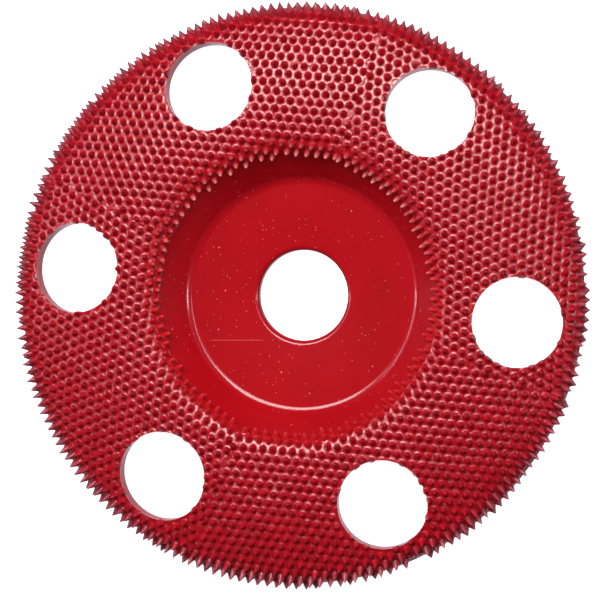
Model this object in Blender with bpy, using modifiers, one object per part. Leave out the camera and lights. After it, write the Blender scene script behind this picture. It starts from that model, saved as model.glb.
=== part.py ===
"""Round-faced carving disc for an angle grinder.

A steel blank is pressed into a dish: a flat hub with the bore, a sloping wall, a raised round
face with six through holes, and a rolled rim. Carbide teeth are brazed over the face in four
quarters. Each quarter is three bands: the inner lip, the face and the rim.

Frame: origin at the centre of the hub's back face, +Z towards the working face. Metres.
"""

import math

import bmesh
import bpy
from mathutils import Matrix, Vector

MM = 0.001

# Blank
SHEET = 1.6 * MM  # thickness of the pressed sheet, 1/16 in
BORE_RADIUS = 15.875 / 2 * MM  # 5/8 in spindle bore
BORE_CHAMFER = 0.5 * MM
FLOOR_RADIUS = 19.2 * MM  # flat hub floor, up to the fillet
FLOOR_FILLET = 2.8 * MM  # floor to dish wall, on the front

# Working surface, at the top of the tooth beds
CROWN_RADIUS = 28.3 * MM  # where the face is highest
CROWN_HEIGHT = 9.1 * MM
LIP_ROLL = 5.8 * MM  # rounding from the crown into the dish
RIM_ROLL = 4.9 * MM  # rounding from the face down to the rim's edge
RIM_CENTRE_RADIUS = 45.58 * MM
RIM_CENTRE_HEIGHT = 1.2 * MM
RIM_BOTTOM = 2.1 * MM

# Through holes
HOLE_COUNT = 6
HOLE_RADIUS = 7.85 * MM
HOLE_RING_RADIUS = 39.6 * MM
FIRST_HOLE_ANGLE = math.radians(-7)

# Tooth beds
BRAZE_GAP = 0.3 * MM
BED = 0.4 * MM
BAND_GAP = 0.3 * MM
LIP_BAND_OUTER = 26.4 * MM
FACE_BAND_OUTER = 47.0 * MM
BED_BOTTOM = 2.8 * MM
SEAMS = [math.radians(a) for a in (72, 156, 246, 339)]  # where the four quarters meet

# Teeth
TIP_RADIUS = 51.45 * MM  # nominally a 4 in disc, measured over the tips
RIM_TEETH = 192  # in each row, a multiple of 4 so that tips lie on both axes
RIM_ROW_ANGLES = (math.radians(40), math.radians(62))  # from +Z, round the rim roll
LIP_TEETH = 92
LIP_ROW_ANGLES = (math.radians(-41), math.radians(-26))  # from +Z, round the lip roll
CROWN_ROW_ANGLE = math.radians(-8)
STAGGERED = (0.5, 0)  # shifts of two neighbouring rows, in pitches
TOOTH_RADIUS = 0.65 * MM
TOOTH_LENGTH = 1.4 * MM  # on the lip and the crown
TOOTH_SIDES = 3
TOOTH_SINK = 0.2 * MM  # how deep a tooth's base is set into its bed

# Facets and cutters
TURN_STEPS = 72
HOLE_STEPS = 24
FRONT_STEP = math.radians(15)
FILLET_STEP = math.radians(18)
FACE_STEP = math.radians(5)
BACK_COARSENESS = 2  # the blank's hollow back has arcs this many times coarser
HOLE_CUTTER_LENGTH = 16 * MM
WEDGE_REACH = 120 * MM
WEDGE_HEIGHT = 40 * MM

PAINT_RED = (0.50, 0.010, 0.016, 1.0)
TOOTH_RED = (0.36, 0.012, 0.022, 1.0)


def clear_scene():
    for obj in list(bpy.data.objects):
        bpy.data.objects.remove(obj, do_unlink=True)


def new_collection(name):
    collection = bpy.data.collections.new(name)
    bpy.context.scene.collection.children.link(collection)
    return collection


def principled(name, color, roughness, metallic):
    material = bpy.data.materials.new(name)
    material.use_nodes = True
    shader = material.node_tree.nodes["Principled BSDF"]
    shader.inputs["Base Color"].default_value = color
    shader.inputs["Roughness"].default_value = roughness
    shader.inputs["Metallic"].default_value = metallic
    return material


def arc(centre, radius, start, stop, step):
    """Points on an arc in the (r, z) plane. Angles are from +Z, and grow towards +r."""
    count = max(1, math.ceil(abs(stop - start) / step))
    angles = [start + (stop - start) * i / count for i in range(count + 1)]
    return [
        (centre[0] + radius * math.sin(a), centre[1] + radius * math.cos(a))
        for a in angles
    ]


def face_geometry():
    """The large face arc, tangent to the crown and to the rim roll: its radius, and its end angle."""
    run = RIM_CENTRE_RADIUS - CROWN_RADIUS
    drop = CROWN_HEIGHT - RIM_CENTRE_HEIGHT - RIM_ROLL
    end = 2 * math.atan2(drop, run)
    return run / math.sin(end) + RIM_ROLL, end


FACE_RADIUS, FACE_END = face_geometry()
LIP_CENTRE = (CROWN_RADIUS, CROWN_HEIGHT - LIP_ROLL)
FACE_CENTRE = (CROWN_RADIUS, CROWN_HEIGHT - FACE_RADIUS)
RIM_CENTRE = (RIM_CENTRE_RADIUS, RIM_CENTRE_HEIGHT)


def lip_angle(radius):
    """Angle on the lip roll where the working surface has this radius."""
    return math.asin((radius - CROWN_RADIUS) / LIP_ROLL)


def face_angle(radius):
    """Angle on the face arc where the working surface has this radius."""
    return math.asin((radius - CROWN_RADIUS) / FACE_RADIUS)


def rim_end(height, depth):
    """Angle on the rim roll where it comes down to this height, this far under the surface."""
    return math.acos((height - RIM_CENTRE_HEIGHT) / (RIM_ROLL - depth))


def wall_slope():
    """Slope of the dish wall, the line tangent to the floor fillet and to the lip roll."""
    inward = LIP_CENTRE[0] - FLOOR_RADIUS
    rise = SHEET + FLOOR_FILLET - LIP_CENTRE[1]
    radii = FLOOR_FILLET + LIP_ROLL - BED - BRAZE_GAP
    return math.atan2(inward, rise) - math.acos(radii / math.hypot(inward, rise))


WALL_SLOPE = wall_slope()


def lip_curve(start, stop, depth, step=FRONT_STEP):
    return arc(LIP_CENTRE, LIP_ROLL - depth, start, stop, step)


def face_curve(start, stop, depth, step=FACE_STEP):
    return arc(FACE_CENTRE, FACE_RADIUS - depth, start, stop, step)


def rim_curve(start, stop, depth, step=FRONT_STEP):
    return arc(RIM_CENTRE, RIM_ROLL - depth, start, stop, step)


def joined(*pieces):
    """One open line from several, with the point where two of them meet kept once."""
    points = []
    for piece in pieces:
        meets = bool(points) and math.dist(points[-1], piece[0]) < 1e-7
        points.extend(piece[1:] if meets else piece)
    return points


def sheet_side(depth, fillet, coarseness):
    """One side of the blank, from the rim's edge in to the hub, this far under the working surface."""
    floor_centre = (FLOOR_RADIUS, SHEET + FLOOR_FILLET)
    fillet_start = math.pi - WALL_SLOPE
    return joined(
        rim_curve(rim_end(RIM_BOTTOM, depth), FACE_END, depth, FRONT_STEP * coarseness),
        face_curve(FACE_END, 0, depth, FACE_STEP * coarseness),
        lip_curve(0, -WALL_SLOPE, depth, FRONT_STEP * coarseness),
        arc(floor_centre, fillet, fillet_start, math.pi, FILLET_STEP),
    )


def blank_profile():
    """Closed outline of the blank, running down its outer side."""
    front_depth = BED + BRAZE_GAP
    front = sheet_side(front_depth, FLOOR_FILLET, 1)
    back = sheet_side(front_depth + SHEET, FLOOR_FILLET + SHEET, BACK_COARSENESS)
    bore = [
        (BORE_RADIUS + BORE_CHAMFER, SHEET),
        (BORE_RADIUS, SHEET - BORE_CHAMFER),
        (BORE_RADIUS, 0),
    ]
    outline = front + bore + back[::-1]
    return outline[::-1]


def lip_band(depth):
    return lip_curve(-WALL_SLOPE, lip_angle(LIP_BAND_OUTER), depth)


def face_band(depth):
    inner = lip_curve(lip_angle(LIP_BAND_OUTER + BAND_GAP), 0, depth)
    outer = face_curve(0, face_angle(FACE_BAND_OUTER), depth)
    return joined(inner, outer)


def rim_band(depth):
    start = math.asin((FACE_BAND_OUTER + BAND_GAP - RIM_CENTRE_RADIUS) / RIM_ROLL)
    return rim_curve(start, rim_end(BED_BOTTOM, depth), depth)


def band_profile(band):
    """Closed outline of a tooth bed, running down its outer side."""
    return band(0) + band(BED)[::-1]


def turned(name, profile, collection, material):
    """A ring turned from a closed outline in the (r, z) plane."""
    mesh = bpy.data.meshes.new(name)
    points = [(r, 0, z) for r, z in profile]
    edges = [(i, (i + 1) % len(points)) for i in range(len(points))]
    mesh.from_pydata(points, edges, [])
    mesh.materials.append(material)
    obj = bpy.data.objects.new(name, mesh)
    collection.objects.link(obj)
    screw = obj.modifiers.new("turn", "SCREW")
    screw.steps = TURN_STEPS
    screw.render_steps = TURN_STEPS
    screw.use_merge_vertices = True
    screw.merge_threshold = 0.00001
    screw.use_smooth_shade = True
    return obj


def helper(name, bm, collection):
    """A cutter or a joined-on shape, hidden in renders."""
    bmesh.ops.recalc_face_normals(bm, faces=bm.faces)
    mesh = bpy.data.meshes.new(name)
    bm.to_mesh(mesh)
    bm.free()
    obj = bpy.data.objects.new(name, mesh)
    obj.display_type = "WIRE"
    obj.hide_render = True
    collection.objects.link(obj)
    return obj


def boolean(obj, name, operation, other):
    """A Boolean with one object, or with every object of a collection."""
    modifier = obj.modifiers.new(name, "BOOLEAN")
    modifier.operation = operation
    modifier.solver = "EXACT"
    if isinstance(other, bpy.types.Collection):
        modifier.operand_type = "COLLECTION"
        modifier.collection = other
    else:
        modifier.object = other


def hole_cutter(index, collection):
    """A cylinder square to the face at one through hole."""
    bm = bmesh.new()
    bmesh.ops.create_cone(
        bm,
        cap_ends=True,
        segments=HOLE_STEPS,
        radius1=HOLE_RADIUS,
        radius2=HOLE_RADIUS,
        depth=HOLE_CUTTER_LENGTH,
    )
    cutter = helper(f"hole_cutter_{index + 1}", bm, collection)
    tilt = face_angle(HOLE_RING_RADIUS)
    turn = FIRST_HOLE_ANGLE + index * 2 * math.pi / HOLE_COUNT
    height = FACE_CENTRE[1] + FACE_RADIUS * math.cos(tilt)
    spot = Vector((HOLE_RING_RADIUS, 0, height))
    turned_round = Matrix.Rotation(turn, 4, "Z")
    cutter.matrix_world = (
        turned_round @ Matrix.Translation(spot) @ Matrix.Rotation(tilt, 4, "Y")
    )
    return cutter


def quarter_cutter(index, collection):
    """A wedge between two seams, set in from each so that neighbouring quarters keep a gap."""
    first = SEAMS[index]
    last = SEAMS[(index + 1) % len(SEAMS)]
    half = (last - first) % (2 * math.pi) / 2
    middle = first + half
    apex = BAND_GAP / 2 / math.sin(half)
    side = Vector((WEDGE_REACH * math.cos(half), WEDGE_REACH * math.sin(half)))
    bm = bmesh.new()
    corners = [(apex, 0), (apex + side.x, -side.y), (apex + side.x, side.y)]
    base = [bm.verts.new((x, y, -WEDGE_HEIGHT / 2)) for x, y in corners]
    face = bm.faces.new(base)
    risen = bmesh.ops.extrude_face_region(bm, geom=[face])
    top = [v for v in risen["geom"] if isinstance(v, bmesh.types.BMVert)]
    bmesh.ops.translate(bm, verts=top, vec=(0, 0, WEDGE_HEIGHT))
    cutter = helper(f"quarter_cutter_{index + 1}", bm, collection)
    cutter.rotation_euler.z = middle
    return cutter


def in_quarter(angle, index, margin):
    """Whether an angle lies between a quarter's seams, and this far from each."""
    first = SEAMS[index]
    last = SEAMS[(index + 1) % len(SEAMS)]
    span = (last - first) % (2 * math.pi)
    return margin < (angle - first) % (2 * math.pi) < span - margin


def add_tooth(bm, turn, centre, roll, angle, length):
    """One pointed tooth, square to a roll at this angle from +Z, in the half plane at this turn."""
    height = length + TOOTH_SINK
    place = (
        Matrix.Rotation(turn, 4, "Z")
        @ Matrix.Translation(Vector((centre[0], 0, centre[1])))
        @ Matrix.Rotation(angle, 4, "Y")
        @ Matrix.Translation(Vector((0, 0, roll - TOOTH_SINK + height / 2)))
    )
    bmesh.ops.create_cone(
        bm,
        cap_ends=True,
        segments=TOOTH_SIDES,
        radius1=TOOTH_RADIUS,
        radius2=0,
        depth=height,
        matrix=place,
    )


def tooth_row(bm, index, count, shift, centre, roll, angle, length):
    """The teeth of one row that lie inside one quarter. shift is in pitches."""
    pitch = 2 * math.pi / count
    for i in range(count):
        turn = (i + shift) * pitch
        if in_quarter(turn, index, pitch / 2):
            add_tooth(bm, turn, centre, roll, angle, length)


def rim_spikes(index, collection):
    """Two rows of long teeth round the rim roll. The outermost row has tips on both axes."""
    bm = bmesh.new()
    length = (TIP_RADIUS - RIM_CENTRE_RADIUS) / math.sin(RIM_ROW_ANGLES[-1]) - RIM_ROLL
    for angle, shift in zip(RIM_ROW_ANGLES, STAGGERED):
        tooth_row(bm, index, RIM_TEETH, shift, RIM_CENTRE, RIM_ROLL, angle, length)
    bmesh.ops.remove_doubles(bm, verts=bm.verts, dist=1e-6)
    return helper(f"rim_spikes_{index + 1}", bm, collection)


def lip_spikes(index, collection):
    """Two rows of teeth round the inner lip."""
    bm = bmesh.new()
    for angle, shift in zip(LIP_ROW_ANGLES, STAGGERED[::-1]):
        tooth_row(bm, index, LIP_TEETH, shift, LIP_CENTRE, LIP_ROLL, angle, TOOTH_LENGTH)
    bmesh.ops.remove_doubles(bm, verts=bm.verts, dist=1e-6)
    return helper(f"lip_spikes_{index + 1}", bm, collection)


def crown_spikes(index, collection):
    """The row of teeth along the crown, which sets the disc's full height."""
    bm = bmesh.new()
    tooth_row(
        bm, index, LIP_TEETH, 0, LIP_CENTRE, LIP_ROLL, CROWN_ROW_ANGLE, TOOTH_LENGTH
    )
    bmesh.ops.remove_doubles(bm, verts=bm.verts, dist=1e-6)
    return helper(f"crown_spikes_{index + 1}", bm, collection)


def make_blank(collection, holes, material):
    blank = turned("steel_disc", blank_profile(), collection, material)
    boolean(blank, "through_holes", "DIFFERENCE", holes)
    return blank


def make_quarter(index, collection, cutters, holes, material):
    """The three bands of one quarter's tooth sheet."""
    wedge = quarter_cutter(index, cutters)
    number = index + 1
    lip = turned(f"lip_teeth_{number}", band_profile(lip_band), collection, material)
    face = turned(f"face_teeth_{number}", band_profile(face_band), collection, material)
    rim = turned(f"rim_teeth_{number}", band_profile(rim_band), collection, material)
    for band in (lip, face, rim):
        boolean(band, "quarter", "INTERSECT", wedge)
    boolean(face, "through_holes", "DIFFERENCE", holes)
    boolean(lip, "teeth", "UNION", lip_spikes(index, cutters))
    boolean(face, "teeth", "UNION", crown_spikes(index, cutters))
    boolean(rim, "teeth", "UNION", rim_spikes(index, cutters))
    return [lip, face, rim]


def main():
    clear_scene()
    disc = new_collection("carving_disc")
    cutters = new_collection("cutters")
    holes = bpy.data.collections.new("hole_cutters")
    cutters.children.link(holes)
    paint = principled("red_paint", PAINT_RED, 0.22, 0.0)
    carbide = principled("red_carbide", TOOTH_RED, 0.35, 0.1)
    for index in range(HOLE_COUNT):
        hole_cutter(index, holes)
    pieces = [make_blank(disc, holes, paint)]
    for index in range(len(SEAMS)):
        pieces += make_quarter(index, disc, cutters, holes, carbide)
    origin = bpy.data.objects.new("disc_origin", None)
    disc.objects.link(origin)
    for piece in pieces:
        piece.parent = origin


main()
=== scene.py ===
"""Looks of the round-faced carving disc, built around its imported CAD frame.

The blank, the four braze beds and every carbide tooth are made again here at full detail. The
teeth stand on four hexagonal lattices, one for each quarter, laid out flat and then wrapped over
the inner lip, the face and the rim. All sizes are in metres.
"""

import math

import bmesh
import bpy
import numpy as np
from mathutils import Matrix, Vector


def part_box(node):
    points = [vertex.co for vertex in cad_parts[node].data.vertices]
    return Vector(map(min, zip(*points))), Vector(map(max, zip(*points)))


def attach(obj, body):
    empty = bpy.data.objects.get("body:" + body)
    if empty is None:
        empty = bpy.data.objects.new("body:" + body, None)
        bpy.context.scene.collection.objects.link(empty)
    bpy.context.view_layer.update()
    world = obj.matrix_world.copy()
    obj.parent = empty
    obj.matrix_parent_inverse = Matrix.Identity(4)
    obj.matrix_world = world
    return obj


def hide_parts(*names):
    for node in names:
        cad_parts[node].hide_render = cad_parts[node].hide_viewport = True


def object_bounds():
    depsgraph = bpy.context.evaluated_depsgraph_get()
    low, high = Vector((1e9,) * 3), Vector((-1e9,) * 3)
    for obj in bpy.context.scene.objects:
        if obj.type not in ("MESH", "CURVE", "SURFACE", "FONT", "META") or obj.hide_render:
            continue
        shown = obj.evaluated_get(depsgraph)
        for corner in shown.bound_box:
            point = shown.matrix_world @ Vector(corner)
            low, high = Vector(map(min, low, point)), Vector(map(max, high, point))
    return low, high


MM = 0.001

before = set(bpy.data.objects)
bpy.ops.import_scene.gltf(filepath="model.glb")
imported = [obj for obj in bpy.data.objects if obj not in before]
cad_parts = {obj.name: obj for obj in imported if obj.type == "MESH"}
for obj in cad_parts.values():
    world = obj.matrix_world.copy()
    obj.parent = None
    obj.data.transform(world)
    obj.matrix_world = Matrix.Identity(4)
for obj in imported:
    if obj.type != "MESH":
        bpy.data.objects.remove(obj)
cad_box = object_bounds()

# Sizes read from the CAD frame
STEEL_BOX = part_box("steel_disc")
STEEL_TOP = STEEL_BOX[1].z
TIP_RADIUS = (cad_box[1].x - cad_box[0].x) / 2

# Blank
SHEET = 1.6 * MM
SKIN = 0.7 * MM  # from the steel up to the working surface
BORE_RADIUS = 15.75 / 2 * MM  # 5/8 in, less a coat of paint
BORE_ROLL = 0.9 * MM  # rounding of the bore's front edge
FLOOR_RADIUS = 19.35 * MM  # the hub's flat floor, up to its fillet
FLOOR_FILLET = 2.0 * MM
RIM_BOTTOM = 2.1 * MM  # height of the rim's edge

# Working surface
CROWN_RADIUS = 28.3 * MM  # where the face is highest
CROWN_HEIGHT = STEEL_TOP + SKIN
LIP_ROLL = 5.8 * MM  # rounding from the crown into the dish
RIM_ROLL = 4.9 * MM  # rounding from the face down to the rim's edge
RIM_CENTRE = (45.58 * MM, 1.2 * MM)
BED_BOTTOM = 2.9 * MM  # height of the bed's outer edge, on the rim
BED_SINK = 0.05 * MM  # how deep the bed reaches into the steel
BED_FEATHER = 3.0 * MM  # run over which the bed's inner edge thins out

# Through holes
HOLE_COUNT = 6
HOLE_RADIUS = 7.85 * MM
HOLE_RING_RADIUS = 39.6 * MM
FIRST_HOLE_ANGLE = math.radians(-7)
HOLE_STEPS = 128
HOLE_OVERHANG = 0.2 * MM  # how far teeth reach over a hole's edge
HOLE_CUTTER_LENGTH = 16 * MM

# Teeth
PITCH = 1.76 * MM
TOOTH_RADIUS = 0.56 * MM
RIM_WIDENING = 0.3  # share by which the rim's teeth are wider
LIP_WIDENING = 0.1  # and the lip's
FACE_LENGTH = 1.4 * MM
LIP_LENGTH = 1.5 * MM
RIM_LENGTH = 1.9 * MM
TIP_SPARE = 0.15 * MM  # how far the tips stay inside the CAD's outer radius
TOOTH_SIDES = 10
RING_HEIGHTS = (-0.2, 0.0, 0.07, 0.22, 0.42, 0.62, 0.8, 0.92, 0.985)  # as shares of a tooth's length
FOOT_FLARE = (1.2, 1.1)  # widening of the two lowest rings
TIP_ROUNDING = 0.8  # narrowing of the highest one
FACE_TAPER = 0.72  # 1 is a straight cone, and less is a blunter one
RIM_TAPER = 0.95
LIP_TAPER = 0.5
INNERMOST = 23.4 * MM  # radius of the first row, on the flat sheet
STEEPEST = math.radians(73)  # lean of the last row, on the rim
LIP_OUTER = 26.4 * MM  # flat radii where the lip's and the face's teeth end
FACE_OUTER = 47.4 * MM
SEAM_MARGIN = 0.02 * MM  # how far tooth axes keep from a seam
SEAM_OVERLAP = 0.25 * MM  # how far cut teeth reach past it
BARE_SPOT = (math.radians(292.6), math.radians(295.6))  # where rim teeth are missing
BARE_LEAN = math.radians(42)
LATTICE_SPARE = 1.3  # how many times larger a lattice is than the sheet, as its axes are skewed

# Lean where teeth start to change, and the run until they have changed. The lip's lean inwards.
TO_RIM_SPIKE = (math.radians(22), math.radians(28))
TO_LIP_CONE = (math.radians(14), math.radians(20))
TO_WORN = (math.radians(35), math.radians(45))
# TO_LIP_FILL: where the lip's teeth get a lighter red that paints over their shade
TO_LIP_FILL = (math.radians(6), math.radians(24))
# TO_TIP_HIGHLIGHT: where the tips of the lip's teeth get a painted highlight
TO_TIP_HIGHLIGHT = (math.radians(10), math.radians(25))
LEAST_REACH_LEAN = math.radians(20)  # teeth that lean less are far from the CAD's outer radius

# How the lip's painted tip highlight and painted lighter red change towards +Y, where the softbox
# stands: base, slope and least share, for upper_side
TIP_HIGHLIGHT_SIDE = (0.2, 1.2, 0.1)
LIP_FILL_SIDE = (0, 1.5, 0)
LIP_FILL_LOSS = 0.75  # share of the lip's painted lighter red that is lost there

# Unevenness of the teeth: a spread, with its lower and upper limits
LENGTH_SCATTER = (0.05, -0.15, 0.05)
WIDTH_SCATTER = (0.04, -0.1, 0.1)
TIP_SCATTER = (0.035 * MM, -0.08 * MM, 0.08 * MM)
PLACE_SCATTER = 0.03 * MM
MOST_LUMP = 0.07  # how far from round a tooth is, as a share of its radius
LEAST_WEAR = 0.5  # the least of a tooth's own shares of wear and of painted tip highlight
LEAST_TIP_HIGHLIGHT = 0.4
PLACE_SEED = 100  # each quarter adds its index to the seeds
SHAPE_SEED = 200
PAINT_SEED = 300

# Each quarter: the seam it starts at and the direction of its rows, in degrees, and its lattice's
# shift in mm
QUARTERS = (
    (72, -5, (0.0, 0.0)),
    (155, 21, (0.3, 0.5)),
    (247, -5.5, (0.7, 0.2)),
    (339, 26, (0.1, 0.9)),
)

# Facets
TURN_STEPS = 288
ROLL_STEP = math.radians(4)
FACE_STEP = math.radians(1.5)
BORE_STEP = math.radians(9)
FEATHER_POINTS = 10
SHARP_ANGLE = math.radians(35)
SAME_POINT = 1e-7


def face_geometry():
    """The large face arc, tangent to the crown and to the rim roll: its radius, and its end angle."""
    run = RIM_CENTRE[0] - CROWN_RADIUS
    drop = CROWN_HEIGHT - RIM_CENTRE[1] - RIM_ROLL
    end = 2 * math.atan2(drop, run)
    return run / math.sin(end) + RIM_ROLL, end


FACE_RADIUS, FACE_END = face_geometry()
LIP_CENTRE = (CROWN_RADIUS, CROWN_HEIGHT - LIP_ROLL)
FACE_CENTRE = (CROWN_RADIUS, CROWN_HEIGHT - FACE_RADIUS)
FACE_RUN = CROWN_RADIUS + FACE_RADIUS * FACE_END  # flat radius where the rim roll starts
OUTERMOST = FACE_RUN + RIM_ROLL * (STEEPEST - FACE_END)  # flat radius of the last row


def rim_end(height, depth):
    """Angle on the rim roll where it comes down to this height, this far under the surface."""
    return math.acos((height - RIM_CENTRE[1]) / (RIM_ROLL - depth))


def wall_slope():
    """Slope of the dish wall, the line tangent to the floor fillet and to the lip roll."""
    inward = LIP_CENTRE[0] - FLOOR_RADIUS
    rise = SHEET + FLOOR_FILLET - LIP_CENTRE[1]
    radii = FLOOR_FILLET + LIP_ROLL - SKIN
    return math.atan2(inward, rise) - math.acos(radii / math.hypot(inward, rise))


WALL_SLOPE = wall_slope()
LIP_START = CROWN_RADIUS - LIP_ROLL * WALL_SLOPE  # flat radius where the wall meets the lip roll


def feather_depth(flat):
    """How far the thinned inner edge of the bed lies under the full working surface."""
    share = np.clip((flat - LIP_START) / BED_FEATHER, 0, 1)
    return SKIN * (1 - share * share * (3 - 2 * share))


# ---------------------------------------------------------------- profiles


def arc(centre, radius, start, stop, step=ROLL_STEP):
    """Points on an arc in the (r, z) plane. Angles are from +Z, and grow towards +r."""
    count = max(1, math.ceil(abs(stop - start) / step))
    angles = [start + (stop - start) * i / count for i in range(count + 1)]
    return [
        (centre[0] + radius * math.sin(a), centre[1] + radius * math.cos(a))
        for a in angles
    ]


def joined(*pieces):
    """One open line from several, with the point where two of them meet kept once."""
    points = []
    for piece in pieces:
        meets = bool(points) and math.dist(points[-1], piece[0]) < SAME_POINT
        points.extend(piece[1:] if meets else piece)
    return points


def sheet_side(depth, fillet):
    """One side of the blank, from the rim's edge in to the hub, this far under the working surface."""
    floor_centre = (FLOOR_RADIUS, SHEET + FLOOR_FILLET)
    return joined(
        arc(RIM_CENTRE, RIM_ROLL - depth, rim_end(RIM_BOTTOM, depth), FACE_END),
        arc(FACE_CENTRE, FACE_RADIUS - depth, FACE_END, 0, FACE_STEP),
        arc(LIP_CENTRE, LIP_ROLL - depth, 0, -WALL_SLOPE),
        arc(floor_centre, fillet, math.pi - WALL_SLOPE, math.pi),
    )


def blank_profile():
    """Closed outline of the blank, with a rolled edge at the bore, running down its outer side."""
    roll_centre = (BORE_RADIUS + BORE_ROLL, SHEET - BORE_ROLL)
    front = sheet_side(SKIN, FLOOR_FILLET)
    back = sheet_side(SKIN + SHEET, FLOOR_FILLET + SHEET)
    bore = arc(roll_centre, BORE_ROLL, 0, -math.pi / 2, BORE_STEP)
    outline = front + bore + [(BORE_RADIUS, 0)] + back[::-1]
    return outline[::-1]


def bed_profile():
    """Closed outline of the braze bed, from its feathered inner edge over the face to the rim."""
    first = -WALL_SLOPE
    feather_end = first + BED_FEATHER / LIP_ROLL
    feather = []
    for lean in np.linspace(first, feather_end, FEATHER_POINTS):
        roll = LIP_ROLL - float(feather_depth(CROWN_RADIUS + LIP_ROLL * lean))
        r = LIP_CENTRE[0] + roll * math.sin(lean)
        z = LIP_CENTRE[1] + roll * math.cos(lean)
        feather.append((r, z))
    top = joined(
        feather,
        arc(LIP_CENTRE, LIP_ROLL, feather_end, 0),
        arc(FACE_CENTRE, FACE_RADIUS, 0, FACE_END, FACE_STEP),
        arc(RIM_CENTRE, RIM_ROLL, FACE_END, rim_end(BED_BOTTOM, 0)),
    )
    depth = SKIN + BED_SINK
    under = joined(
        arc(LIP_CENTRE, LIP_ROLL - depth, first, 0),
        arc(FACE_CENTRE, FACE_RADIUS - depth, 0, FACE_END, FACE_STEP),
        arc(RIM_CENTRE, RIM_ROLL - depth, FACE_END, rim_end(BED_BOTTOM, depth)),
    )
    return top + under[::-1]


# ---------------------------------------------------------------- meshes


def new_object(name, mesh):
    obj = bpy.data.objects.new(name, mesh)
    bpy.context.scene.collection.objects.link(obj)
    return obj


def revolved(name, profile, start, span):
    """A closed outline in the (r, z) plane turned through span radians from start."""
    closed = span > 2 * math.pi - 1e-6
    steps = round(TURN_STEPS * span / (2 * math.pi))
    rings = steps if closed else steps + 1
    turns = start + span * np.arange(rings) / steps
    outline = np.array(profile)
    count = len(outline)
    x = np.outer(np.cos(turns), outline[:, 0])
    y = np.outer(np.sin(turns), outline[:, 0])
    z = np.tile(outline[:, 1], (rings, 1))
    points = np.stack([x, y, z], axis=-1).reshape(-1, 3)
    faces = []
    for i in range(steps):
        here = i * count
        there = (i + 1) % rings * count
        for j in range(count):
            k = (j + 1) % count
            faces.append((here + j, there + j, there + k, here + k))
    if not closed:
        faces.append(tuple(range(count)))
        faces.append(tuple(range(steps * count, rings * count))[::-1])
    mesh = bpy.data.meshes.new(name)
    mesh.from_pydata(points.tolist(), [], faces)
    mesh.update()
    shape = bmesh.new()
    shape.from_mesh(mesh)
    bmesh.ops.recalc_face_normals(shape, faces=shape.faces)
    shape.to_mesh(mesh)
    shape.free()
    return new_object(name, mesh)


def hole_axis(index):
    """Centre and direction of one through hole, square to the face."""
    lean = math.asin((HOLE_RING_RADIUS - CROWN_RADIUS) / FACE_RADIUS)
    turn = FIRST_HOLE_ANGLE + index * 2 * math.pi / HOLE_COUNT
    height = FACE_CENTRE[1] + FACE_RADIUS * math.cos(lean)
    out = Vector((math.cos(turn), math.sin(turn), 0))
    up = Vector((0, 0, 1))
    return out * HOLE_RING_RADIUS + up * height, out * math.sin(lean) + up * math.cos(lean)


def hole_cutters():
    """The six cylinders that cut the blank and the beds, in one collection."""
    holes = bpy.data.collections.new("hole_cutters")
    for index in range(HOLE_COUNT):
        centre, direction = hole_axis(index)
        turn = direction.to_track_quat("Z", "Y").to_matrix().to_4x4()
        shape = bmesh.new()
        bmesh.ops.create_cone(
            shape,
            cap_ends=True,
            segments=HOLE_STEPS,
            radius1=HOLE_RADIUS,
            radius2=HOLE_RADIUS,
            depth=HOLE_CUTTER_LENGTH,
            matrix=Matrix.Translation(centre) @ turn,
        )
        mesh = bpy.data.meshes.new(f"hole_cutter_{index + 1}")
        shape.to_mesh(mesh)
        shape.free()
        holes.objects.link(bpy.data.objects.new(mesh.name, mesh))
    return holes


def cut_and_smooth(obj, holes):
    """Cuts the holes out of an object for good, and shades it smooth up to the sharp angle."""
    cut = obj.modifiers.new("through_holes", "BOOLEAN")
    cut.operation = "DIFFERENCE"
    cut.solver = "EXACT"
    cut.operand_type = "COLLECTION"
    cut.collection = holes
    bpy.context.view_layer.update()
    graph = bpy.context.evaluated_depsgraph_get()
    mesh = bpy.data.meshes.new_from_object(obj.evaluated_get(graph))
    obj.modifiers.clear()
    obj.data = mesh
    mesh.shade_smooth()
    mesh.set_sharp_from_angle(angle=SHARP_ANGLE)


# ---------------------------------------------------------------- teeth


def surface_at(flat):
    """(r, z, lean) of the working surface at these radii of the flat sheet. Lean is from +Z."""
    lip = (flat - CROWN_RADIUS) / LIP_ROLL
    face = (flat - CROWN_RADIUS) / FACE_RADIUS
    rim = FACE_END + (flat - FACE_RUN) / RIM_ROLL
    on_lip = flat < CROWN_RADIUS
    on_face = flat < FACE_RUN
    lean = np.where(on_lip, lip, np.where(on_face, face, rim))
    centre_r = np.where(on_face, CROWN_RADIUS, RIM_CENTRE[0])
    lip_roll = LIP_ROLL - feather_depth(flat)
    roll = np.where(on_lip, lip_roll, np.where(on_face, FACE_RADIUS, RIM_ROLL))
    centre_z = np.where(on_lip, LIP_CENTRE[1], np.where(on_face, FACE_CENTRE[1], RIM_CENTRE[1]))
    return centre_r + roll * np.sin(lean), centre_z + roll * np.cos(lean), lean


def lattice(degrees, shift):
    """Points of a hexagonal lattice that covers the flat sheet, as (flat radius, turn)."""
    reach = math.ceil(OUTERMOST / PITCH * LATTICE_SPARE)
    i, j = np.meshgrid(np.arange(-reach, reach + 1), np.arange(-reach, reach + 1))
    first = math.radians(degrees)
    second = first + math.pi / 3
    x = PITCH * (i * math.cos(first) + j * math.cos(second)) + shift[0] * MM
    y = PITCH * (i * math.sin(first) + j * math.sin(second)) + shift[1] * MM
    flat = np.hypot(x, y).ravel()
    turn = np.arctan2(y, x).ravel()
    return flat, turn


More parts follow.
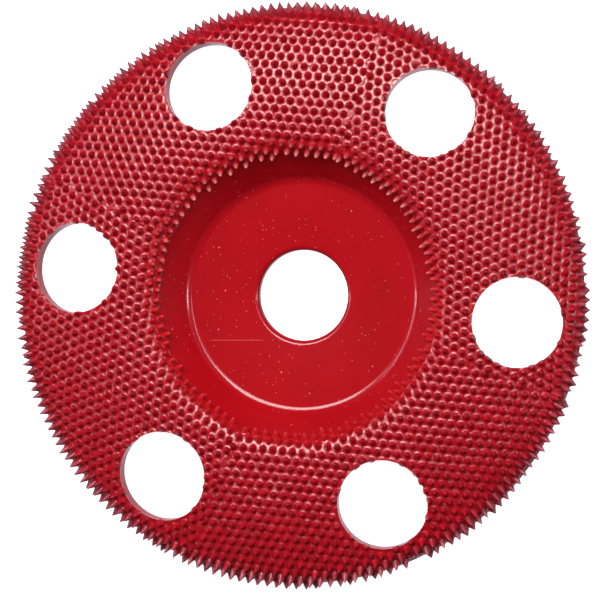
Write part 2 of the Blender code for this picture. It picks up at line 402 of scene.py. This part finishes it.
def flat_radius(points):
    """The reverse of surface_at: the flat radius under points that lie on the working surface."""
    r = np.hypot(points[:, 0], points[:, 1])
    z = points[:, 2]
    lip = np.arctan2(r - LIP_CENTRE[0], z - LIP_CENTRE[1])
    face = np.arctan2(r - FACE_CENTRE[0], z - FACE_CENTRE[1])
    rim = np.arctan2(r - RIM_CENTRE[0], z - RIM_CENTRE[1])
    outer = np.where(
        face < FACE_END,
        CROWN_RADIUS + FACE_RADIUS * face,
        FACE_RUN + RIM_ROLL * (rim - FACE_END),
    )
    return np.where(r < CROWN_RADIUS, CROWN_RADIUS + LIP_ROLL * lip, outer)


def mark_lattice(obj, index):
    """Stores each point's place in the quarter's lattice, in pitches, as a UV map."""
    mesh = obj.data
    points = np.empty(len(mesh.vertices) * 3)
    mesh.vertices.foreach_get("co", points)
    points = points.reshape(-1, 3)
    flat = flat_radius(points)
    turn = np.arctan2(points[:, 1], points[:, 0])
    _, degrees, shift = QUARTERS[index]
    direction = math.radians(degrees)
    x = flat * np.cos(turn) - shift[0] * MM
    y = flat * np.sin(turn) - shift[1] * MM
    along = (x * math.cos(direction) + y * math.sin(direction)) / PITCH
    across = (y * math.cos(direction) - x * math.sin(direction)) / PITCH
    corners = np.empty(len(mesh.loops), dtype=np.int32)
    mesh.loops.foreach_get("vertex_index", corners)
    places = mesh.uv_layers.new(name="lattice")
    places.data.foreach_set("uv", np.stack([along, across], -1)[corners].ravel())


def seam_span(index):
    """Start and end turn of a quarter, in radians."""
    start = math.radians(QUARTERS[index][0])
    end = math.radians(QUARTERS[(index + 1) % len(QUARTERS)][0])
    return start, start + (end - start) % (2 * math.pi)


def hole_distance(points, index):
    """How far points lie from one hole's axis, and the unit vectors out from it."""
    centre, direction = (np.array(v) for v in hole_axis(index))
    offset = points - centre
    offset = offset - np.outer(offset @ direction, direction)
    distance = np.linalg.norm(offset, axis=1)
    return distance, offset / distance[:, None]


def tooth_places(index):
    """Where one quarter's teeth stand: base points, leans, turns and flat radii."""
    start, end = seam_span(index)
    _, degrees, shift = QUARTERS[index]
    flat, turn = lattice(degrees, shift)
    rng = np.random.default_rng(PLACE_SEED + index)
    flat = flat + rng.normal(0, PLACE_SCATTER, flat.shape)
    turn = turn + rng.normal(0, PLACE_SCATTER, flat.shape) / np.maximum(flat, MM)
    past = (turn - start) % (2 * math.pi)
    inside = past < end - start
    first_gap = flat * np.sin(np.minimum(past, math.pi / 2))
    last_gap = flat * np.sin(np.clip(end - start - past, 0, math.pi / 2))
    keep = inside & (first_gap > SEAM_MARGIN) & (last_gap > SEAM_MARGIN)
    keep &= (flat > INNERMOST) & (flat < OUTERMOST)
    flat, turn = flat[keep], turn[keep]
    r, z, lean = surface_at(flat)
    base = np.stack([r * np.cos(turn), r * np.sin(turn), z], axis=-1)
    around = turn % (2 * math.pi)
    clear = (around < BARE_SPOT[0]) | (around > BARE_SPOT[1]) | (lean < BARE_LEAN)
    for hole in range(HOLE_COUNT):
        clear &= hole_distance(base, hole)[0] > HOLE_RADIUS
    return base[clear], lean[clear], turn[clear], flat[clear]


def ring_widths(taper):
    """Share of a tooth's radius at each of its rings."""
    above = np.clip(RING_HEIGHTS, 0, 1)
    flare = np.ones(len(RING_HEIGHTS))
    flare[: len(FOOT_FLARE)] = FOOT_FLARE
    flare[-1] = TIP_ROUNDING
    return (1 - above) ** taper * flare


def changed(lean, start, run):
    """How far a change is done at these leans, from 0 at its start to 1 after its run."""
    return np.clip((lean - start) / run, 0, 1)


def scatter(rng, spread, lowest, highest, shape):
    """Random numbers around 0, held between two limits."""
    return rng.normal(0, spread, shape).clip(lowest, highest)


def tooth_sizes(lean, rng):
    """Length and radius of the teeth at these leans, and their shares of radius at each ring."""
    count = len(lean)
    rimward = changed(lean, *TO_RIM_SPIKE)
    lipward = changed(-lean, *TO_LIP_CONE)
    length = FACE_LENGTH + (RIM_LENGTH - FACE_LENGTH) * rimward
    length = length + (LIP_LENGTH - FACE_LENGTH) * lipward
    room = TIP_RADIUS - TIP_SPARE - RIM_CENTRE[0]
    reach = room / np.sin(np.maximum(lean, LEAST_REACH_LEAN)) - RIM_ROLL
    length = np.minimum(length, reach)
    length = length * (1 + scatter(rng, *LENGTH_SCATTER, count))
    radius = TOOTH_RADIUS * (1 + scatter(rng, *WIDTH_SCATTER, count))
    radius = radius * (1 + RIM_WIDENING * rimward + LIP_WIDENING * lipward)
    face, rim, lip = (ring_widths(taper) for taper in (FACE_TAPER, RIM_TAPER, LIP_TAPER))
    shape = face + (rim - face) * rimward[:, None] + (lip - face) * lipward[:, None]
    return length, radius, shape


def tooth_meshes(index):
    """All the teeth of one quarter as points, with each tooth's flat radius, lean and turn."""
    base, lean, turn, flat = tooth_places(index)
    count = len(base)
    rng = np.random.default_rng(SHAPE_SEED + index)
    length, radius, shape = tooth_sizes(lean, rng)
    around = np.arange(TOOTH_SIDES) * 2 * math.pi / TOOTH_SIDES
    spin = rng.uniform(0, 2 * math.pi, count)
    angle = around[None, :] + spin[:, None]
    lump = rng.uniform(0, MOST_LUMP, count)[:, None]
    uneven = 1 + lump * np.cos(2 * around)[None, :] + 0.5 * lump * np.cos(3 * angle)
    normal = np.stack([np.sin(lean) * np.cos(turn), np.sin(lean) * np.sin(turn), np.cos(lean)], -1)
    tangent = np.stack([-np.sin(turn), np.cos(turn), np.zeros(count)], -1)
    across = np.cross(tangent, normal)
    tip_shift = scatter(rng, *TIP_SCATTER, (count, 2))
    rings = []
    for h, share in zip(RING_HEIGHTS, shape.T):
        out = radius[:, None] * share[:, None] * uneven
        side = out * np.cos(angle) + tip_shift[:, :1] * max(h, 0)
        along = out * np.sin(angle) + tip_shift[:, 1:] * max(h, 0)
        ring = (
            base[:, None, :]
            + side[..., None] * tangent[:, None, :]
            + along[..., None] * across[:, None, :]
            + (h * length)[:, None, None] * normal[:, None, :]
        )
        rings.append(ring)
    tip = (
        base
        + length[:, None] * normal
        + tip_shift[:, :1] * tangent
        + tip_shift[:, 1:] * across
    )
    points = np.concatenate([np.concatenate(rings, axis=1), tip[:, None, :]], axis=1)
    return points, flat, lean, turn


def clamp_to_holes(points):
    """Cuts teeth back near the hole walls, by moving the points that reach too far over them."""
    flat_points = points.reshape(-1, 3)
    for hole in range(HOLE_COUNT):
        distance, outward = hole_distance(flat_points, hole)
        push = np.maximum(HOLE_RADIUS - HOLE_OVERHANG - distance, 0)
        flat_points = flat_points + push[:, None] * outward
    return flat_points.reshape(points.shape)


def clamp_to_seams(points, index):
    """Cuts teeth back just past the quarter's two seams."""
    start, end = seam_span(index)
    for turn, side in ((start, 1), (end, -1)):
        facing = np.array([-math.sin(turn) * side, math.cos(turn) * side, 0])
        ray = np.array([math.cos(turn), math.sin(turn), 0])
        depth = points @ facing + SEAM_OVERLAP
        on_this_side = points @ ray > 0
        short = np.where(on_this_side & (depth < 0), -depth, 0)
        points = points + short[..., None] * facing
    return points


def tooth_faces(count, per_tooth):
    """Faces of this many teeth: the base cap, the side quads and the tip fan."""
    sides = TOOTH_SIDES
    rings = (per_tooth - 1) // sides
    one = [list(range(sides))[::-1]]
    for ring in range(rings - 1):
        for k in range(sides):
            a = ring * sides + k
            b = ring * sides + (k + 1) % sides
            one.append([a, b, b + sides, a + sides])
    tip = rings * sides
    last = (rings - 1) * sides
    one += [[last + k, last + (k + 1) % sides, tip] for k in range(sides)]
    return [[v + t * per_tooth for v in face] for t in range(count) for face in one]


def tooth_piece(name, points, values):
    """One object that holds these teeth, with a value of each name stored on every point."""
    count, per_tooth = points.shape[:2]
    mesh = bpy.data.meshes.new(name)
    mesh.from_pydata(points.reshape(-1, 3).tolist(), [], tooth_faces(count, per_tooth))
    mesh.update()
    mesh.shade_smooth()
    for label, numbers in values.items():
        attribute = mesh.attributes.new(label, "FLOAT", "POINT")
        attribute.data.foreach_set("value", numbers.astype(np.float32).ravel())
    return new_object(name, mesh)


def upper_side(turn, base, slope, least):
    """A share that grows with how far teeth lie towards +Y, held between the least one and 1."""
    return np.clip(base + slope * np.sin(turn), least, 1)


def make_teeth(index, material):
    """The lip, face and rim teeth of one quarter, as three pieces."""
    points, flat, lean, turn = tooth_meshes(index)
    points = clamp_to_holes(points)
    points = clamp_to_seams(points, index)
    count, per_tooth = points.shape[:2]
    rng = np.random.default_rng(PAINT_SEED + index)
    tint = rng.uniform(0, 1, count)
    bare = changed(lean, *TO_WORN) * rng.uniform(LEAST_WEAR, 1, count)
    # Painted fill: the lip's teeth get a lighter red where they sit in shade, and less of it towards
    # +Y, where the softbox lights them.
    lip = changed(-lean, *TO_LIP_FILL) * (1 - LIP_FILL_LOSS * upper_side(turn, *LIP_FILL_SIDE))
    # Painted highlight: the tips of the lip's teeth towards +Y, lit by the softbox, go pink-white.
    painted_tip_highlight = changed(-lean, *TO_TIP_HIGHLIGHT) * upper_side(turn, *TIP_HIGHLIGHT_SIDE) * rng.uniform(LEAST_TIP_HIGHLIGHT, 1, count)
    numbers = {"tint": tint, "bare": bare, "lip": lip, "painted_tip_highlight": painted_tip_highlight}
    values = {name: np.repeat(each[:, None], per_tooth, axis=1) for name, each in numbers.items()}
    heights = np.append(np.repeat(RING_HEIGHTS, TOOTH_SIDES), 1.0).clip(0, 1)
    values["tip"] = np.tile(heights, (count, 1))
    number = index + 1
    bands = (
        (f"lip_points_{number}", f"lip_teeth_{number}", flat < LIP_OUTER),
        (f"face_points_{number}", f"face_teeth_{number}", (flat >= LIP_OUTER) & (flat < FACE_OUTER)),
        (f"rim_points_{number}", f"rim_teeth_{number}", flat >= FACE_OUTER),
    )
    for name, node, chosen in bands:
        chosen_values = {label: each[chosen] for label, each in values.items()}
        piece = tooth_piece(name, points[chosen], chosen_values)
        finish_piece(piece, material, [node])


# ---------------------------------------------------------------- materials


def add(tree, kind, inputs=None, **settings):
    """A new node with its settings, and its inputs set to values or linked from sockets."""
    made = tree.nodes.new(kind)
    for name, value in settings.items():
        setattr(made, name, value)
    for key, value in (inputs or {}).items():
        if isinstance(value, bpy.types.NodeSocket):
            tree.links.new(value, made.inputs[key])
        else:
            made.inputs[key].default_value = value
    return made


def blended(tree, share, first, second):
    """A colour between two, by a share from 0 to 1."""
    made = add(tree, "ShaderNodeMix", {0: share, 6: first, 7: second}, data_type="RGBA")
    return made.outputs[2]


def ramped(tree, value, low, high, to_low=0.0, to_high=1.0):
    """A value mapped from one range to another, and held inside it."""
    made = add(
        tree,
        "ShaderNodeMapRange",
        {"Value": value, "From Min": low, "From Max": high, "To Min": to_low, "To Max": to_high},
    )
    return made.outputs["Result"]


def noise(tree, place, scale, detail=3.0):
    """Fractal noise around 0.5. Its scale is per metre."""
    made = add(tree, "ShaderNodeTexNoise", {"Vector": place, "Scale": scale, "Detail": detail})
    return made.outputs["Fac"]


def math_node(tree, operation, first, second=0.0):
    return add(tree, "ShaderNodeMath", {0: first, 1: second}, operation=operation).outputs[0]


def attribute(tree, name):
    return add(tree, "ShaderNodeAttribute", attribute_name=name).outputs["Fac"]


def new_material(name, roughness, ior=1.5):
    """A new material, its node tree, its shader, and the object's own coordinates."""
    material = bpy.data.materials.new(name)
    material.use_nodes = True
    tree = material.node_tree
    shader = tree.nodes["Principled BSDF"]
    shader.inputs["Roughness"].default_value = roughness
    shader.inputs["IOR"].default_value = ior
    place = add(tree, "ShaderNodeTexCoord").outputs["Object"]
    return material, tree, shader, place


def bumped(tree, shader, height, distance):
    """Gives a shader small relief: this height, which is in units of this distance."""
    bump = add(tree, "ShaderNodeBump", {"Height": height, "Distance": distance, "Strength": 1.0})
    tree.links.new(bump.outputs["Normal"], shader.inputs["Normal"])


# Colours, as linear light
PAINT = (0.40, 0.003, 0.007, 1)
PAINT_DEEP = (0.365, 0.003, 0.007, 1)
# painted lighter red over the shade on the lip's teeth
LIP_FILL_RED = (0.56, 0.006, 0.012, 1)
SPECK = (0.80, 0.30, 0.28, 1)
CRIMSON = (0.43, 0.004, 0.015, 1)
CRIMSON_DEEP = (0.28, 0.003, 0.011, 1)
# painted highlight on the lip's tips
HIGHLIGHT_PINK = (0.66, 0.20, 0.19, 1)
CARBIDE = (0.25, 0.125, 0.15, 1)
# bare steel, darkened as painted shade under the rim
BARE_STEEL_AND_SHADE = (0.10, 0.055, 0.065, 1)
CLOUD_LEVELS = (0.35, 0.7)  # noise levels that give the paint and the deep paint

# Hub. The scales of noise and specks are per metre.
HUB_WAVES = 350
HUB_WAVE_HEIGHT = 0.02 * MM
DUST = ((800, 0.12, 0.88, 0.9), (1700, 0.2, 0.80, 0.5))  # scale, size, rarity and strength
PICK_EDGE = 0.01  # softness of the choice between cells with and without a speck
SCRATCH = (-17.0 * MM, -6.8 * MM, -7.85 * MM)  # X of its left and right ends, and its Y
SCRATCH_WIDTH = 0.07 * MM
SCRATCH_FADE = 1.0 * MM
SCRATCH_STRENGTH = 0.3

# Bed. Heights of grain, lumps and pits are shares of the foot's.
LATTICE_BOX = (0.5, math.sqrt(3) / 2, 1)  # half the lattice's rectangular cell, in pitches
FOOT_START = 0.31  # where the paint's foot round a tooth starts and ends, in pitches from its axis
FOOT_END = 0.52
FOOT_HEIGHT = 0.10 * MM
GRAIN_SCALE = 4200
GRAIN_HEIGHT = 0.25
LUMP_SCALE = 900
LUMP_HEIGHT = 0.5
PIT_SCALE = 1800
PIT_SIZE = (0.34, 0.1)  # from a pit's edge to its floor, in cells
PIT_DEPTH = 0.6
EDGE_WEAR_AND_SHADE_RADII = (49.9 * MM, 50.5 * MM)  # where the bed's outer edge turns dark grey: bare steel where the paint thins out, darkened as painted shade under the rim

# Teeth. Levels are shares of a tooth's height.
WORN_LEVELS = (0.05, 0.5)
# tip heights over which the lip's painted highlight comes in
TIP_HIGHLIGHT_LEVELS = (0.2, 0.9)
TOOTH_GRAIN = 2200
TOOTH_GRAIN_HEIGHT = 0.06 * MM

# Floor under the disc
FLOOR_LEVELS = (0.3, 0.7)  # noise levels that give the two tones
FLOOR_TONES = (0.9, 0.93)


def clouded_paint(tree, place, scale):
    """The red paint, with slow changes to a deeper red."""
    cloud = noise(tree, place, scale)
    return blended(tree, ramped(tree, cloud, *CLOUD_LEVELS), PAINT, PAINT_DEEP)


def specks(tree, place, scale, size, rarity, strength):
    """Round dust specks: a share that is above 0 only near some of a Voronoi pattern's points."""
    cells = add(tree, "ShaderNodeTexVoronoi", {"Vector": place, "Scale": scale, "Randomness": 1.0})
    near = ramped(tree, cells.outputs["Distance"], size, size / 2, 0.0, strength)
    picked = add(tree, "ShaderNodeSeparateColor", {"Color": cells.outputs["Color"]}).outputs[0]
    return math_node(tree, "MULTIPLY", near, ramped(tree, picked, rarity, rarity + PICK_EDGE))


def scratch(tree, place):
    """One fine straight scratch across the hub's floor."""
    left, right, height = SCRATCH
    axes = add(tree, "ShaderNodeSeparateXYZ", {0: place})
    off = math_node(tree, "ABSOLUTE", math_node(tree, "SUBTRACT", axes.outputs["Y"], height))
    line = ramped(tree, off, SCRATCH_WIDTH, SCRATCH_WIDTH / 2, 0.0, SCRATCH_STRENGTH)
    begun = ramped(tree, axes.outputs["X"], left, left + SCRATCH_FADE)
    ended = ramped(tree, axes.outputs["X"], right, right - SCRATCH_FADE)
    return math_node(tree, "MULTIPLY", line, math_node(tree, "MULTIPLY", begun, ended))


def lattice_distance(tree):
    """Distance to the nearest tooth's axis, in pitches."""
    place = add(tree, "ShaderNodeUVMap", uv_map="lattice").outputs["UV"]
    low = tuple(-v for v in LATTICE_BOX)
    distances = []
    for offset in ((0, 0, 0), LATTICE_BOX[:2] + (0,)):
        moved = add(tree, "ShaderNodeVectorMath", {0: place, 1: offset}).outputs["Vector"]
        near = add(
            tree, "ShaderNodeVectorMath", {0: moved, 1: LATTICE_BOX, 2: low}, operation="WRAP"
        ).outputs["Vector"]
        length = add(tree, "ShaderNodeVectorMath", {0: near}, operation="LENGTH")
        distances.append(length.outputs["Value"])
    return math_node(tree, "MINIMUM", *distances)


def worn_and_shaded_edge(tree, place):
    """Share of dark grey at the bed's outer edge, by the distance from the disc's axis: bare steel,
    darkened as painted shade under the rim.
    """
    flat_place = add(tree, "ShaderNodeVectorMath", {0: place, 1: (1, 1, 0)}, operation="MULTIPLY")
    from_axis = {0: flat_place.outputs["Vector"]}
    radius = add(tree, "ShaderNodeVectorMath", from_axis, operation="LENGTH").outputs["Value"]
    return ramped(tree, radius, *EDGE_WEAR_AND_SHADE_RADII)


def bed_height(tree, place):
    """Height of the lumpy paint: a foot round each tooth, with grain and lumps, less some pits."""
    rise = ramped(tree, lattice_distance(tree), FOOT_END, FOOT_START)
    foot = math_node(tree, "MULTIPLY", rise, rise)
    grain = math_node(tree, "MULTIPLY", noise(tree, place, GRAIN_SCALE, 2.0), GRAIN_HEIGHT)
    lumps = math_node(tree, "MULTIPLY", noise(tree, place, LUMP_SCALE, 2.0), LUMP_HEIGHT)
    height = math_node(tree, "ADD", foot, math_node(tree, "ADD", grain, lumps))
    cells = add(tree, "ShaderNodeTexVoronoi", {"Vector": place, "Scale": PIT_SCALE})
    pits = ramped(tree, cells.outputs["Distance"], *PIT_SIZE, 0.0, PIT_DEPTH)
    return math_node(tree, "SUBTRACT", height, pits)


def hub_paint():
    """Smooth gloss red over the steel, with dust specks and one scratch."""
    material, tree, shader, place = new_material("hub_paint", roughness=0.16)
    base = clouded_paint(tree, place, scale=120)
    for scale, size, rarity, strength in DUST:
        base = blended(tree, specks(tree, place, scale, size, rarity, strength), base, SPECK)
    base = blended(tree, scratch(tree, place), base, SPECK)
    tree.links.new(base, shader.inputs["Base Color"])
    bumped(tree, shader, noise(tree, place, HUB_WAVES, 4.0), HUB_WAVE_HEIGHT)
    return material


def bed_paint():
    """Thick lumpy paint in the spaces between the teeth, turning dark grey at its outer edge: bare
    steel with painted shade.
    """
    material, tree, shader, place = new_material("bed_paint", roughness=0.16, ior=1.64)
    base = clouded_paint(tree, place, scale=200)
    # dark grey at the outer edge: bare steel and painted shade
    base = blended(tree, worn_and_shaded_edge(tree, place), base, BARE_STEEL_AND_SHADE)
    tree.links.new(base, shader.inputs["Base Color"])
    bumped(tree, shader, bed_height(tree, place), FOOT_HEIGHT)
    return material


def tooth_paint():
    """Crimson paint over carbide, worn off at the rim, with a painted lighter red on the lip's shaded
    teeth and a painted highlight on the lip's tips towards +Y.
    """
    material, tree, shader, place = new_material("tooth_paint", roughness=0.28)
    body = blended(tree, attribute(tree, "tint"), CRIMSON, CRIMSON_DEEP)
    # painted lighter red over the lip's shade
    body = blended(tree, attribute(tree, "lip"), body, LIP_FILL_RED)
    tip = attribute(tree, "tip")
    worn = math_node(tree, "MULTIPLY", attribute(tree, "bare"), ramped(tree, tip, *WORN_LEVELS))
    # painted highlight on the lip's tips towards +Y
    tip_highlight_share = math_node(tree, "MULTIPLY", attribute(tree, "painted_tip_highlight"), ramped(tree, tip, *TIP_HIGHLIGHT_LEVELS))
    body = blended(tree, tip_highlight_share, body, HIGHLIGHT_PINK)
    tree.links.new(blended(tree, worn, body, CARBIDE), shader.inputs["Base Color"])
    bumped(tree, shader, noise(tree, place, TOOTH_GRAIN), TOOTH_GRAIN_HEIGHT)
    return material


def floor_white():
    """Pale matt floor with light of its own, so that shadows on it stay faint."""
    material, tree, shader, place = new_material("floor_white", roughness=0.9)
    tone = ramped(tree, noise(tree, place, scale=40), *FLOOR_LEVELS, *FLOOR_TONES)
    colour = add(tree, "ShaderNodeCombineColor", {0: tone, 1: tone, 2: tone}).outputs[0]
    tree.links.new(colour, shader.inputs["Base Color"])
    shader.inputs["Emission Color"].default_value = (1, 1, 1, 1)
    shader.inputs["Emission Strength"].default_value = 1.0
    return material


# ---------------------------------------------------------------- pieces


def finish_piece(piece, material, nodes):
    """Gives a piece its material and its body, and hides the CAD nodes that it stands for."""
    piece.data.materials.clear()
    piece.data.materials.append(material)
    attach(piece, "root")
    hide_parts(*nodes)


def make_blank(holes, material):
    blank = revolved("steel_blank", blank_profile(), 0, 2 * math.pi)
    cut_and_smooth(blank, holes)
    finish_piece(blank, material, ["steel_disc"])


def make_bed(index, holes, material):
    start, end = seam_span(index)
    number = index + 1
    bed = revolved(f"braze_bed_{number}", bed_profile(), start, end - start)
    cut_and_smooth(bed, holes)
    mark_lattice(bed, index)
    nodes = [f"{band}_teeth_{number}" for band in ("lip", "face", "rim")]
    finish_piece(bed, material, nodes)


# ---------------------------------------------------------------- stage, light and camera

CAMERA_LEAN = math.radians(12.6)  # from +Z towards +X
CAMERA_DIP = math.radians(-0.4)  # from +Z towards +Y
CAMERA_DISTANCE = 1.2
VIEW_HEIGHT = 3.4 * MM
FIELD = 104.5 * MM  # width of the view in the plane at that height
SENSOR = 36.0  # the camera's sensor, in its own millimetres
VIEW_DROP = 0.857 * MM  # how far the view's middle lies below the disc's axis
VIEW_SHIFT = 0.09 * MM  # and how far to the left of it

# Softbox: its lean from +Z towards +X and +Y
LIGHT_LEAN_X = math.radians(-7)
LIGHT_LEAN_Y = math.radians(27)
LIGHT_DISTANCE = 1.0
LIGHT_SIZE = (0.73, 0.40)
LIGHT_RADIANCE = 12.2

# A lamp and a strip on each side
LAMP_PLACES = ((-1.1, 0.04, 0.62), (1.1, 0.04, 0.62))
LAMP_SIZES = (0.14, 0.22)
LAMP_RADIANCE = 18.0
STRIP_PLACES = ((0.384, 0.28, 1.0), (-1.15, 0.38, 1.0))
STRIP_SIZES = ((0.09, 0.50), (0.13, 0.70))
STRIP_RADIANCE = 9.0
STRIP_COLOUR = (1.0, 0.95, 1.2)

# World, by the direction looked in
CEILING = (0.03, 0.03, 0.035, 1)
CEILING_EDGE = (math.cos(math.radians(45)), math.cos(math.radians(22)))
WALLS = (0.05, 0.047, 0.056, 1)
SIDES = (0.55, 0.52, 0.72, 1)
SIDE_POWER = 3.0  # how closely the sides keep to the X axis
SIDE_HEIGHTS = (0.0, 0.3)  # Z of the directions where the sides light up
SIDE_FADE = (-0.3, 0.0, 0.25)  # Y of the directions where they dim, and the share that stays
FLOOR_GLOW = (1.00, 0.88, 1.00, 1)  # what the paint reflects from below
GLOW_EDGE = (-0.32, -0.5)

# Floor under the disc
FLOOR_REACH = 4.0  # from its middle to each edge
FLOOR_GAP = 0.1 * MM  # between the floor and the blank's back


def make_camera():
    """A long lens over the disc, which leans a little towards +X."""
    back = Vector(
        (
            math.sin(CAMERA_LEAN) * math.cos(CAMERA_DIP),
            math.sin(CAMERA_DIP),
            math.cos(CAMERA_LEAN) * math.cos(CAMERA_DIP),
        )
    )
    right = Vector((0, 1, 0)).cross(back).normalized()
    up = back.cross(right)
    middle = Vector((0, 0, VIEW_HEIGHT)) - up * VIEW_DROP - right * VIEW_SHIFT
    data = bpy.data.cameras.new("camera")
    data.sensor_width = SENSOR
    data.lens = SENSOR * CAMERA_DISTANCE / FIELD
    camera = new_object("camera", data)
    turn = Matrix((right, up, back)).transposed().to_4x4()
    camera.matrix_world = Matrix.Translation(middle + back * CAMERA_DISTANCE) @ turn
    bpy.context.scene.camera = camera


def upright_turn(place):
    """The turn of a strip that faces the disc from this place, with its length along Y."""
    back = Vector(place).normalized()
    across = Vector((0, 1, 0)).cross(back).normalized()
    return Matrix((across, back.cross(across), back)).transposed().to_quaternion()


def area_light(name, place, size, radiance, colour=(1, 1, 1), turn=None):
    """A rectangular light that faces the disc."""
    data = bpy.data.lights.new(name, "AREA")
    data.shape = "RECTANGLE"
    data.size = size[0]
    data.size_y = size[1]
    data.energy = radiance * math.pi * size[0] * size[1]
    data.color = colour
    light = new_object(name, data)
    light.location = place
    light.rotation_mode = "QUATERNION"
    light.rotation_quaternion = turn or Vector(place).to_track_quat("Z", "Y")


def make_lights():
    """A softbox overhead, and a small lamp and a narrow strip on each side."""
    direction = Vector((math.tan(LIGHT_LEAN_X), math.tan(LIGHT_LEAN_Y), 1)).normalized()
    area_light("softbox", direction * LIGHT_DISTANCE, LIGHT_SIZE, LIGHT_RADIANCE)
    for number, (place, size) in enumerate(zip(LAMP_PLACES, LAMP_SIZES), 1):
        area_light(f"side_lamp_{number}", place, (size, size), LAMP_RADIANCE)
    for number, (place, size) in enumerate(zip(STRIP_PLACES, STRIP_SIZES), 1):
        turn = upright_turn(place)
        area_light(f"strip_{number}", place, size, STRIP_RADIANCE, STRIP_COLOUR, turn)


def make_world():
    """A dim studio: a dark ceiling, brighter sides, and a glow from below."""
    world = bpy.data.worlds.new("studio")
    world.use_nodes = True
    tree = world.node_tree
    direction = add(tree, "ShaderNodeTexCoord").outputs["Generated"]
    axes = add(tree, "ShaderNodeSeparateXYZ", {0: direction})
    sideways = math_node(tree, "POWER", math_node(tree, "ABSOLUTE", axes.outputs["X"]), SIDE_POWER)
    sideways = math_node(tree, "MULTIPLY", sideways, ramped(tree, axes.outputs["Z"], *SIDE_HEIGHTS))
    sideways = math_node(tree, "MULTIPLY", sideways, ramped(tree, axes.outputs["Y"], *SIDE_FADE))
    walls = blended(tree, sideways, WALLS, SIDES)
    above = blended(tree, ramped(tree, axes.outputs["Z"], *CEILING_EDGE), walls, CEILING)
    colour = blended(tree, ramped(tree, axes.outputs["Z"], *GLOW_EDGE), above, FLOOR_GLOW)
    tree.links.new(colour, tree.nodes["Background"].inputs["Color"])
    bpy.context.scene.world = world
    bpy.context.scene.view_settings.view_transform = "Standard"


def make_floor():
    """A staged floor just under the hub's back, which lights and reflects nothing on the disc."""
    shape = bmesh.new()
    bmesh.ops.create_grid(shape, x_segments=1, y_segments=1, size=FLOOR_REACH)
    mesh = bpy.data.meshes.new("studio_floor")
    shape.to_mesh(mesh)
    shape.free()
    floor = new_object("studio_floor", mesh)
    floor.location.z = STEEL_BOX[0].z - FLOOR_GAP
    floor.data.materials.append(floor_white())
    floor.visible_diffuse = False
    floor.visible_glossy = False


def main():
    make_camera()
    make_lights()
    make_world()
    make_floor()
    holes = hole_cutters()
    make_blank(holes, hub_paint())
    bed_material = bed_paint()
    tooth_material = tooth_paint()
    for index in range(len(QUARTERS)):
        make_bed(index, holes, bed_material)
        make_teeth(index, tooth_material)


main()
